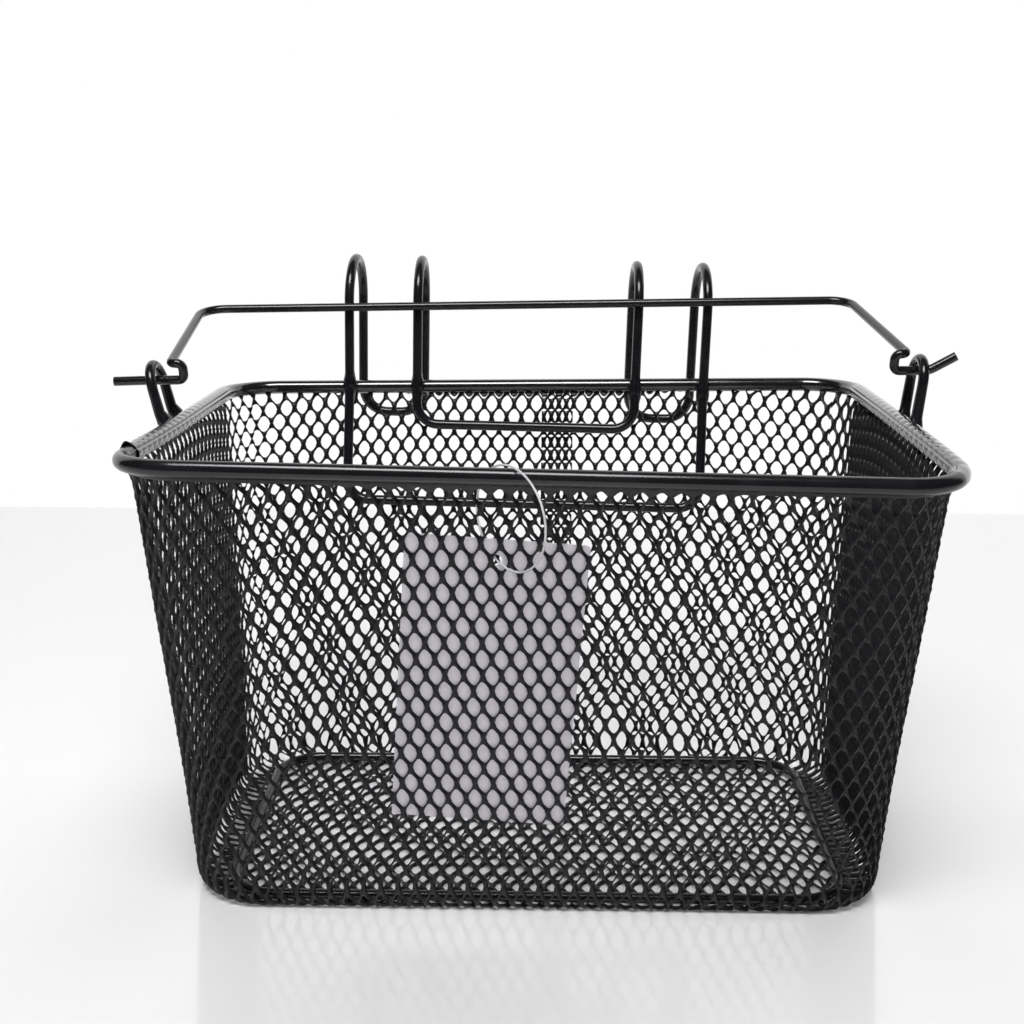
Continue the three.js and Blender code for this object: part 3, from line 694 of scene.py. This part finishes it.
HEM_SKIN = 0.8 * MM
HEM_BACK = 0.15  # share of the skin that is left round the back, where the fold is drawn tight
HEM_OUTER = math.radians(138)  # how far round the hem reaches on the outside, from the top
HEM_INNER = math.radians(-150)  # and on the inside
HEM_EDGE = 0.7 * MM
HEM_SINK = 0.2 * MM  # of its edges into the coating of the wire
HEM_THICK = 0.5 * MM
HEM_THIN = 10 * MM  # before the back of the rim, where it is thinnest
HEM_THINNING = 24 * MM
HEM_STEPS = 160  # along each side
HEM_GRID = (720, 34)
HEM_END = 24 * MM  # length over which its right end runs out
HEM_SHORT = 6 * MM  # how far before the left corner it ends
SEAM = math.radians(-56)  # where its folded edge meets the wall
SEAM_DEPTH = 0.6 * MM
SEAM_WIDTH = 0.35 * MM
DIMPLE = 0.32 * MM  # depth of the folded diamonds under the coating
DIMPLE_POWER = 1.4
FAINT = 0.1  # share of that depth that is left round the back
SMOOTH_FROM = 75 * MM  # how far back the marks of the diamonds fade out
SMOOTH_OVER = 70 * MM
LIP_RISE = 1.5 * MM  # of the left end, which stands up off the wire
LIP_LENGTH = 6 * MM
LIP_ANGLE = math.radians(14)
LIP_WIDTH = math.radians(24)


def hem_path():
    """Places and outward directions along the middle of the rim, from right front round to left front."""
    places, outs = [], []
    for side in ("right", "back", "left"):
        half_along, half_across = rim_half(side)
        straight = half_along - RIM_CORNER
        reach = half_length(half_along, RIM_CORNER)
        high = straight - HEM_SHORT if side == "left" else reach
        distance = np.linspace(-reach, high, HEM_STEPS)
        along, out = along_side(half_along, half_across, RIM_CORNER, distance)
        beyond = np.sign(distance) * np.maximum(np.abs(distance) - straight, 0) / RIM_CORNER
        places.append((turned(side, along, out, RIM_Z) + np.array([0, RIM_Y, 0]))[:-1])
        outs.append(turned(side, np.sin(beyond), np.cos(beyond), 0.0)[:-1])
    places, outs = np.concatenate(places), np.concatenate(outs)
    run = np.concatenate([[0], np.cumsum(np.linalg.norm(np.diff(places, axis=0), axis=1))])
    return run, places, outs


def round_rim(run, places, outs, distance, angle, radius):
    """Points round the rim wire, by the length along it, the angle from its top and the radius."""
    at = np.stack([np.interp(distance, run, places[:, i]) for i in range(3)], axis=1)
    out = np.stack([np.interp(distance, run, outs[:, i]) for i in range(3)], axis=1)
    out /= np.linalg.norm(out, axis=1, keepdims=True)
    up = np.array([0, 0, 1.0])
    return at + (out * np.sin(angle)[:, None] + up * np.cos(angle)[:, None]) * np.asarray(radius)[:, None]


def dimples(column, row):
    """Depth of the folded diamonds, from nought to one, by columns along the hem and rows round it."""
    s = sizes()
    depth = 0
    for odd in (0, 1):
        beside = np.abs((column - odd / 2 + 0.5) % 1.0 - 0.5)
        above = np.abs((row - odd + 1) % 2.0 - 1)
        reach = (2 * beside / s.hole_width) ** DIMPLE_POWER + (above / s.hole_height) ** DIMPLE_POWER
        depth = np.maximum(depth, np.clip(1 - reach, 0, 1))
    return depth


def hem_radius(distance, angle, run, y):
    """Radius of the hem's surface round the middle of the rim wire."""
    s = sizes()
    radius = s.rim_wire / 2
    side = np.clip((RIM_HIGH.y - HEM_THIN - y) / HEM_THINNING, 0, 1)
    edge = np.clip(np.minimum(angle - HEM_INNER, HEM_OUTER - angle) * radius / HEM_EDGE, 0, 1)
    start = np.clip(distance / HEM_END, 0, 1)
    skin = HEM_SKIN * (HEM_BACK + (1 - HEM_BACK) * side) + HEM_SINK
    skin *= np.sqrt(edge * (2 - edge)) * start
    seam = SEAM_DEPTH * np.exp(-((angle - SEAM) * radius / SEAM_WIDTH) ** 2)
    marks = DIMPLE * dimples(distance / s.pitch, angle * radius / s.half_row)
    marks *= np.clip((SMOOTH_FROM - y) / SMOOTH_OVER, FAINT, 1)
    rise = np.clip((distance - run) / LIP_LENGTH + 1, 0, 1) ** 2
    lip = LIP_RISE * rise * np.exp(-((angle - LIP_ANGLE) / LIP_WIDTH) ** 2)
    return radius - HEM_SINK + skin - (seam + marks) * side * start * edge + lip


class BASKET_OT_rim(bpy.types.Operator):
    """Bends the rim wire and folds the hem of the wall mesh over it on the sides and the back"""

    bl_idname = "basket.rim"
    bl_label = "Rim and hem"

    def execute(self, context):
        loop = loop_points(*rim_half("front"), RIM_CORNER, RIM_Y, RIM_Z)
        rim = wire(loop, sizes().rim_wire, closed=True, rounding=10)
        reshape(rim, settle)
        finish(rim, "wire_rim", "basket", "coated_steel", dipped_vinyl(), "rim_wire")
        path = hem_path()
        run = path[0][-1]
        hem = flat_grid(*HEM_GRID)

        def fold(p):
            distance = p[:, 0] * run
            angle = HEM_INNER + p[:, 1] * (HEM_OUTER - HEM_INNER)
            y = np.interp(distance, path[0], path[1][:, 1])
            return settle(round_rim(*path, distance, angle, hem_radius(distance, angle, run, y)))

        reshape(hem, fold)
        modify(hem, "SOLIDIFY", thickness=HEM_THICK, offset=1.0)
        edit(hem, turn_outwards)
        folded = dipped_vinyl("folded_black_vinyl", coat=1.0)
        finish(hem, "mesh_hem", "basket", "coated_steel", folded, "rim_hem")
        return {"FINISHED"}


# The hook frame: one closed wire with two Us inside the back panel and two double hooks

HOOK_LEG_Y = 119.04 * MM
HOOK_SHIFT = -7.2 * MM
HOOK_TILT = math.radians(1.2)
HOOK_REACH = 45 * MM
HOOK_RISE = 70.5 * MM
HOOK_DROP = 22 * MM
OUTER_LEGS = 195.5 * MM
INNER_LEGS = 120.5 * MM
OUTER_REAR_LEGS = 191.5 * MM
INNER_REAR_LEGS = 119.5 * MM
OUTER_BAR = (106.7 * MM, 62 * MM)  # behind the middle of the base, and below the rim
INNER_BAR = (115.1 * MM, 20 * MM)
LEG_BEND = 30 * MM
BAR_BEND = 12 * MM
REAR_BEND = 14 * MM
WELD_BACK = 0.8 * MM  # of the welds, behind the middle of the legs
# Width of a weld, by its rise over the rim in millimetres
HOOK_WELD = {-9: 0.9, -7: 1.03, -5: 1.14, -3: 1.32, 0: 1.4, 3: 1.32, 5: 1.14, 7: 1.03, 9: 0.9}


class BASKET_OT_hooks(bpy.types.Operator):
    """Bends the hook frame and fills its welds to the rim"""

    bl_idname = "basket.hooks"
    bl_label = "Hook frame"

    def execute(self, context):
        s = sizes()
        rear = HOOK_LEG_Y + HOOK_REACH
        top = RIM_Z + HOOK_RISE - s.hook_wire / 2
        turn = HOOK_REACH / 2
        outer, inner = OUTER_LEGS / 2, INNER_LEGS / 2
        half = [
            ((outer, OUTER_BAR[0], RIM_Z - OUTER_BAR[1]), BAR_BEND),
            ((outer, HOOK_LEG_Y, RIM_Z), LEG_BEND),
            ((outer, HOOK_LEG_Y, top), turn),
            ((OUTER_REAR_LEGS / 2, rear, top), turn),
            ((OUTER_REAR_LEGS / 2, rear, RIM_Z - HOOK_DROP), REAR_BEND),
            ((INNER_REAR_LEGS / 2, rear, RIM_Z - HOOK_DROP), REAR_BEND),
            ((INNER_REAR_LEGS / 2, rear, top), turn),
            ((inner, HOOK_LEG_Y, top), turn),
            ((inner, HOOK_LEG_Y, RIM_Z), LEG_BEND),
            ((inner, INNER_BAR[0], RIM_Z - INNER_BAR[1]), BAR_BEND),
        ]
        mirrored = [((-at[0], at[1], at[2]), bend) for at, bend in reversed(half)]
        place = (Matrix.Translation((HOOK_SHIFT, 0, RIM_Z)) @ Matrix.Rotation(HOOK_TILT, 4, "Y")
                 @ Matrix.Translation((0, 0, -RIM_Z)))
        path = [place @ point for point in bend_path(half + mirrored, closed=True)]
        hooks = wire(path, s.hook_wire, closed=True)
        welds = []
        for x in (-outer, -inner, inner, outer):
            path = [place @ Vector((x, HOOK_LEG_Y + WELD_BACK, RIM_Z + rise * MM)) for rise in HOOK_WELD]
            welds.append(wire(path, s.hook_wire, swell=list(HOOK_WELD.values())))
        hooks = join(hooks, *welds)
        finish(hooks, "wire_hooks", "basket", "coated_steel", dipped_vinyl(), "hook_frame")
        return {"FINISHED"}


# The handle and the two loops that it turns in

LOOP_LEAN = {"left": math.radians(13), "right": math.radians(6)}
LOOP_HEIGHT = {"left": 28.5 * MM, "right": 33 * MM}
LOOP_X = {"left": 179.31 * MM, "right": 179.15 * MM}  # of the feet
LOOP_OUT = {"left": 2.4 * MM, "right": 0.2 * MM}  # how far the legs bend out above their feet
LOOP_LEGS = 21 * MM
LOOP_FOOT = 4 * MM
LOOP_WELD = {-4: 0.9, -2: 1.45, 0: 1.5, 2: 1.28}  # width of its welds, as for the hooks
LOOP_WELD_TOP = 1.08
HANDLE_LEG = {"left": 178.3 * MM, "right": 175.8 * MM}  # foot of the leg from the middle of the basket
HANDLE_CORNER = {"left": 183 * MM, "right": 166.6 * MM}  # where it meets the crossbar
HANDLE_REST = 47.3 * MM  # crossbar above the rim's middle
CROSSBAR_Y = 113.8 * MM
HANDLE_BEND = 12 * MM
CURL_RISE = 8.5 * MM
CURL_DEPTH = 5.8 * MM
CURL_BEND = 3 * MM
HALF_AXIS = 183.95 * MM  # from the middle of the handle's axis to the loops
TAIL_START = 5 * MM
TAIL_BEND = 8 * MM
TAIL_ROUND = 0.4 * MM
TAIL_REACH = {"left": 20.8 * MM, "right": 17.1 * MM}
TAIL_RISE = {"left": -0.3 * MM, "right": 7 * MM}


class BASKET_OT_loops(bpy.types.Operator):
    """Bends the two leaning loops and fills their welds to the side rims"""

    bl_idname = "basket.loops"
    bl_label = "Handle loops"

    def execute(self, context):
        s = sizes()
        arch = LOOP_LEGS / 2
        middle = JOINTS["handle_swing"]["pos_m"][1]
        for name, side in (("left", -1), ("right", 1)):
            lean = LOOP_LEAN[name]
            crown = LOOP_HEIGHT[name] - s.loop_wire / 2

            def on_loop(y, along):
                out = LOOP_OUT[name] * min((along + LOOP_FOOT) / (2 * LOOP_FOOT), 1.0)
                return Vector((side * (LOOP_X[name] + out + along * math.sin(lean)), middle + y,
                               RIM_Z + along * math.cos(lean)))

            arc = bend_path([(on_loop(-arch, LOOP_FOOT), 0), (on_loop(-arch, crown), arch),
                             (on_loop(arch, crown), arch), (on_loop(arch, LOOP_FOOT), 0)], steps=14)
            front = [on_loop(-arch, rise * MM) for rise in LOOP_WELD]
            back = [on_loop(arch, rise * MM) for rise in reversed(LOOP_WELD)]
            foot = [*LOOP_WELD.values(), LOOP_WELD_TOP]
            swell = foot + [1.0] * (len(arc) - 2) + foot[::-1]
            loop = wire(front + arc + back, s.loop_wire, swell=swell)
            finish(loop, f"loop_{name}", "basket", "coated_steel", dipped_vinyl(), f"handle_loop_{name}")
        return {"FINISHED"}


class BASKET_OT_handle(bpy.types.Operator):
    """Bends the handle with its curled ends and cut tails"""

    bl_idname = "basket.handle"
    bl_label = "Handle"

    def execute(self, context):
        s = sizes()
        hinge = JOINTS["handle_swing"]
        pivot, axis = Vector(hinge["pos_m"]), Vector(hinge["axis"])
        reach = Vector((CROSSBAR_Y - pivot.y, RIM_Z + HANDLE_REST - pivot.z))
        leg = math.sqrt(reach.length_squared - CURL_RISE ** 2)
        lean = math.atan2(reach.y, reach.x) - math.atan2(CURL_RISE, leg)

        def half(name, side):
            leg_x = side * HANDLE_LEG[name] - pivot.x
            curl_x = leg_x - side * CURL_DEPTH
            corner_x = side * HANDLE_CORNER[name] - pivot.x
            return [
                ((side * (HALF_AXIS + TAIL_REACH[name]), 0, TAIL_RISE[name]), 0),
                ((side * (HALF_AXIS + TAIL_START), 0, 0), TAIL_BEND),
                ((curl_x, 0, 0), CURL_BEND),
                ((curl_x, 0, CURL_RISE), CURL_BEND),
                ((leg_x, 0, CURL_RISE), CURL_DEPTH - CURL_BEND),
                ((corner_x, leg, CURL_RISE), HANDLE_BEND),
            ]

        flat = bend_path(half("left", -1) + half("right", 1)[::-1])
        tilt = Matrix.Rotation(-math.atan2(axis.z, axis.x), 4, "Y")
        place = Matrix.Translation(pivot) @ tilt @ Matrix.Rotation(lean, 4, "X")
        path = [place @ point for point in flat]
        bail = wire(path, s.handle_wire)
        soften_ends(bail, (path[0], path[-1]), TAIL_ROUND)
        finish(bail, "wire_handle", "handle", "coated_steel", dipped_vinyl(), "handle_bail")
        return {"FINISHED"}


# The swing tag: a blank card on a ring of nylon line round the front rim

RING_SLANT = 14 * MM  # how far the ring leans sideways from back to front
RING_SHIFT = 5.6 * MM  # of its top from the card's hole
RING_SLACK = 0.6 * MM
RING_STEPS = 64


class BASKET_OT_tag(bpy.types.Operator):
    """Makes the ring of line that the swing tag hangs on, and gives the tag's card its grey card finish
    """

    bl_idname = "basket.tag"
    bl_label = "Swing tag"

    def execute(self, context):
        s = sizes()
        centre = Vector(JOINTS["tag_swing"]["pos_m"])
        radius = (RING_HIGH.z - RING_LOW.z - s.line) / 2 + RING_SLACK
        path = []
        for k in range(RING_STEPS):
            angle = 2 * math.pi * k / RING_STEPS
            path.append(centre + Vector((RING_SHIFT - RING_SLANT * math.cos(angle),
                                         radius * math.cos(angle), radius * math.sin(angle))))
        ring = wire(path, s.line, closed=True, rounding=3)
        finish(ring, "tag_line", "tag", "nylon_line", clear_nylon(), "tag_loop")
        card = frame["nodes"]["tag_card"]
        card.data.materials.clear()
        card.data.materials.append(grey_card())
        return {"FINISHED"}


# Materials


def add_node(tree, kind, settings=None, links=None):
    """Adds a node with its settings and its incoming links."""
    node = tree.nodes.new(kind)
    for name, value in (settings or {}).items():
        if name in node.inputs:
            node.inputs[name].default_value = value
        else:
            setattr(node, name, value)
    for name, socket in (links or {}).items():
        tree.links.new(socket, node.inputs[name])
    return node


def new_material(name, settings):
    """A material with the settings of its shader."""
    material = bpy.data.materials.new(name)
    material.use_nodes = True
    tree = material.node_tree
    shader = tree.nodes["Principled BSDF"]
    for socket, value in settings.items():
        shader.inputs[socket].default_value = value
    return material, tree, shader


def noise(tree, scale, detail=2.0):
    """A noise that stays with the piece."""
    place = add_node(tree, "ShaderNodeTexCoord")
    cloud = add_node(tree, "ShaderNodeTexNoise", {"Scale": scale, "Detail": detail},
                     {"Vector": place.outputs["Object"]})
    return cloud.outputs["Fac"]


def vary_gloss(tree, shader, patches, low, high):
    """Roughness between two values."""
    gloss = add_node(tree, "ShaderNodeMapRange", {"To Min": low, "To Max": high}, {"Value": patches})
    tree.links.new(gloss.outputs["Result"], shader.inputs["Roughness"])


def vary_tone(tree, shader, patches, main_tone, other_tone):
    """Base colour between two tones."""
    tone = add_node(tree, "ShaderNodeMix", {"data_type": "RGBA"})
    tone.inputs[6].default_value = main_tone
    tone.inputs[7].default_value = other_tone
    tree.links.new(patches, tone.inputs[0])
    tree.links.new(tone.outputs[2], shader.inputs["Base Color"])


def roughen(tree, shader, height, strength, distance):
    """Fine relief of a surface."""
    bump = add_node(tree, "ShaderNodeBump", {"Strength": strength, "Distance": distance},
                    {"Height": height})
    tree.links.new(bump.outputs["Normal"], shader.inputs["Normal"])


def dipped_vinyl(name="dipped_black_vinyl", coat=0.1):
    """Steel dipped in black vinyl: a deep gloss with soft highlights along round edges, and the slight
    ripple of a coating that has flowed."""
    found = bpy.data.materials.get(name)
    if found:
        return found
    settings = {"IOR": 1.48, "Coat Weight": coat, "Coat IOR": 1.8, "Coat Roughness": 0.15}
    material, tree, shader = new_material(name, settings)
    patches = noise(tree, 60.0, 3.0)
    worn = add_node(tree, "ShaderNodeMapRange", {"From Min": 0.45, "From Max": 0.8, "To Max": 0.5},
                    {"Value": patches})
    vary_tone(tree, shader, worn.outputs["Result"], colours().coating, colours().coating_worn)
    vary_gloss(tree, shader, patches, 0.15, 0.25)
    roughen(tree, shader, noise(tree, 500.0, 1.0), 0.12, 0.2 * MM)
    return material


def dipped_mesh():
    """The same vinyl, drawn thin and nearly matt over the strands of the mesh; its colour is a shade
    lighter than the coating, as painted sheen for the light along the strands' edges.
    """
    found = bpy.data.materials.get("thin_black_vinyl_painted_sheen")
    if found:
        return found
    settings = {"Base Color": colours().mesh, "IOR": 1.4}
    material, tree, shader = new_material("thin_black_vinyl_painted_sheen", settings)
    vary_gloss(tree, shader, noise(tree, 160.0), 0.3, 0.45)
    return material


def grey_card():
    """Uncoated grey card: matt, with short fibres a shade darker."""
    material, tree, shader = new_material("grey_card_stock", {"Roughness": 0.6})
    fibre = noise(tree, 900.0, 4.0)
    vary_tone(tree, shader, fibre, colours().card, colours().card_fibre)
    roughen(tree, shader, fibre, 0.15, 0.1 * MM)
    return material


def clear_nylon():
    """Drawn nylon line: nearly clear, so it shows as a thin bright thread."""
    settings = {"Base Color": colours().line, "IOR": 1.53, "Transmission Weight": 0.4}
    material, tree, shader = new_material("clear_nylon_line", settings)
    vary_gloss(tree, shader, noise(tree, 400.0), 0.15, 0.3)
    return material


# Stage

CAMERA_PLACE = Vector((-1.45, -619.5, 319)) * MM
CAMERA_PITCH = math.radians(14.05)
CAMERA_YAW = math.radians(1.03)
CAMERA_ROLL = math.radians(0.175)
FOCAL_PIXELS = 1344
IMAGE_PIXELS = 1024
SENSOR = 36.0
TABLE_BACK = 0.66
TABLE_FRONT = -0.72
TABLE_HALF = 2.2
BACKDROP_Y = 2.4
BACKDROP_WIDTH = 12
BACKDROP_HEIGHT = 8


def seen_as_white(tree, shader):
    """Emission that only shows to the eye, in gloss and through clear things, over a plain shader."""
    path = add_node(tree, "ShaderNodeLightPath")
    seen = path.outputs["Is Camera Ray"]
    for ray in ("Is Glossy Ray", "Is Transmission Ray"):
        either = add_node(tree, "ShaderNodeMath", {"operation": "MAXIMUM"})
        tree.links.new(seen, either.inputs[0])
        tree.links.new(path.outputs[ray], either.inputs[1])
        seen = either.outputs[0]
    glow = add_node(tree, "ShaderNodeEmission", {"Color": colours().backdrop, "Strength": 1.0})
    mix = add_node(tree, "ShaderNodeMixShader")
    for i, socket in enumerate((seen, shader.outputs[0], glow.outputs[0])):
        tree.links.new(socket, mix.inputs[i])
    return mix


class BASKET_OT_stage(bpy.types.Operator):
    """Sets up the table, the backdrop, the lamps and the camera"""

    bl_idname = "basket.stage"
    bl_label = "Stage"

    def execute(self, context):
        scene = context.scene
        scene.view_settings.view_transform = "Standard"
        self.table()
        self.backdrop()
        self.world(scene)
        self.lamp("lamp_key", (-0.14, -0.55, 1.3), (-0.05, 0, 0.15), (0.7, 0.46), 12.5)
        self.lamp("lamp_room", (0, -0.4, 3.2), (0, -0.4, 0), (5, 5), 17, shiny=False)
        self.lamp("lamp_front", (0, -1.7, 0.7), (0, 0, 0.1), (1.2, 1.2), 8.5, shiny=False)
        self.lamp("lamp_back", (0.3, 1.7, 2.0), (0.25, 1.2, 0), (3.6, 1.5), 48, shiny=False)
        camera = bpy.data.objects.new("camera", bpy.data.cameras.new("camera"))
        scene.collection.objects.link(camera)
        camera.data.sensor_width = SENSOR
        camera.data.lens = FOCAL_PIXELS * SENSOR / IMAGE_PIXELS
        camera.data.clip_start = 0.01
        turn = (Matrix.Rotation(CAMERA_YAW, 4, "Z") @ Matrix.Rotation(math.pi / 2 - CAMERA_PITCH, 4, "X")
                @ Matrix.Rotation(CAMERA_ROLL, 4, "Z"))
        camera.matrix_world = Matrix.Translation(CAMERA_PLACE) @ turn
        scene.camera = camera
        return {"FINISHED"}

    def plane(self, name, shape, material):
        """A flat piece of the stage."""
        deselect()
        bpy.ops.mesh.primitive_plane_add(size=1)
        plane = bpy.context.object
        plane.name = name
        reshape(plane, shape)
        plane.data.materials.append(material)
        return plane

    def table(self):
        span = np.array([2 * TABLE_HALF, TABLE_BACK - TABLE_FRONT, 0])
        middle = np.array([0, (TABLE_BACK + TABLE_FRONT) / 2, 0])
        polished = {"Base Color": colours().table, "Roughness": 0.1, "IOR": 1.8}
        material = new_material("white_table", polished)[0]
        table = self.plane("stage_table", lambda p: p * span + middle, material)

    def backdrop(self):
        span = np.array([BACKDROP_WIDTH, 0, BACKDROP_HEIGHT])
        middle = np.array([0, BACKDROP_Y, 0])
        material, tree, shader = new_material("white_backdrop", {"Base Color": colours().backdrop})
        mix = seen_as_white(tree, shader)
        tree.links.new(mix.outputs[0], tree.nodes["Material Output"].inputs["Surface"])
        drop = self.plane("stage_backdrop", lambda p: p[:, [0, 2, 1]] * span + middle, material)

    def world(self, scene):
        scene.world = bpy.data.worlds.new("studio")
        scene.world.use_nodes = True
        tree = scene.world.node_tree
        place = add_node(tree, "ShaderNodeTexCoord")
        split = add_node(tree, "ShaderNodeSeparateXYZ", links={"Vector": place.outputs["Generated"]})
        level = add_node(tree, "ShaderNodeMapRange",
                         {"From Min": -0.5, "From Max": 0.9, "To Min": 0.15, "To Max": 0.3},
                         {"Value": split.outputs["Y"]})
        background = tree.nodes["Background"]
        tree.links.new(level.outputs["Result"], background.inputs["Strength"])

    def lamp(self, name, place, aim, size, power, shiny=True):
        """A soft lamp. One that isn't shiny only fills the shade, and doesn't show in gloss."""
        light = bpy.data.lights.new(name, "AREA")
        light.shape = "RECTANGLE"
        light.size, light.size_y = size
        light.energy = power
        lamp = bpy.data.objects.new(name, light)
        lamp.visible_glossy = shiny
        bpy.context.scene.collection.objects.link(lamp)
        lamp.location = place
        lamp.rotation_euler = (Vector(aim) - Vector(place)).to_track_quat("-Z", "Y").to_euler()


OPERATORS = (BASKET_OT_stage, BASKET_OT_wall, BASKET_OT_floor, BASKET_OT_base, BASKET_OT_rim,
             BASKET_OT_hooks, BASKET_OT_loops, BASKET_OT_handle, BASKET_OT_tag)


class BASKET_PT_panel(bpy.types.Panel):
    """Lists the sizes, the colours and the pieces of the basket"""

    bl_idname = "BASKET_PT_panel"
    bl_label = "Bicycle basket"
    bl_space_type = "VIEW_3D"
    bl_region_type = "UI"
    bl_category = "Basket"

    def draw(self, context):
        for group in (context.scene.basket_sizes, context.scene.basket_colours):
            for name in group.__annotations__:
                self.layout.prop(group, name)
        for operator in OPERATORS:
            self.layout.operator(operator.bl_idname)


CLASSES = (BasketSizes, BasketColours, *OPERATORS, BASKET_PT_panel)


def register():
    for cls in CLASSES:
        bpy.utils.register_class(cls)
    bpy.types.Scene.basket_sizes = PointerProperty(type=BasketSizes)
    bpy.types.Scene.basket_colours = PointerProperty(type=BasketColours)


def unregister():
    del bpy.types.Scene.basket_colours
    del bpy.types.Scene.basket_sizes
    for cls in reversed(CLASSES):
        bpy.utils.unregister_class(cls)


def main():
    register()
    bpy.ops.basket.stage()
    bpy.ops.basket.wall()
    bpy.ops.basket.floor()
    bpy.ops.basket.base()
    bpy.ops.basket.rim()
    bpy.ops.basket.hooks()
    bpy.ops.basket.loops()
    bpy.ops.basket.handle()
    bpy.ops.basket.tag()


if __name__ == "__main__":
    main()
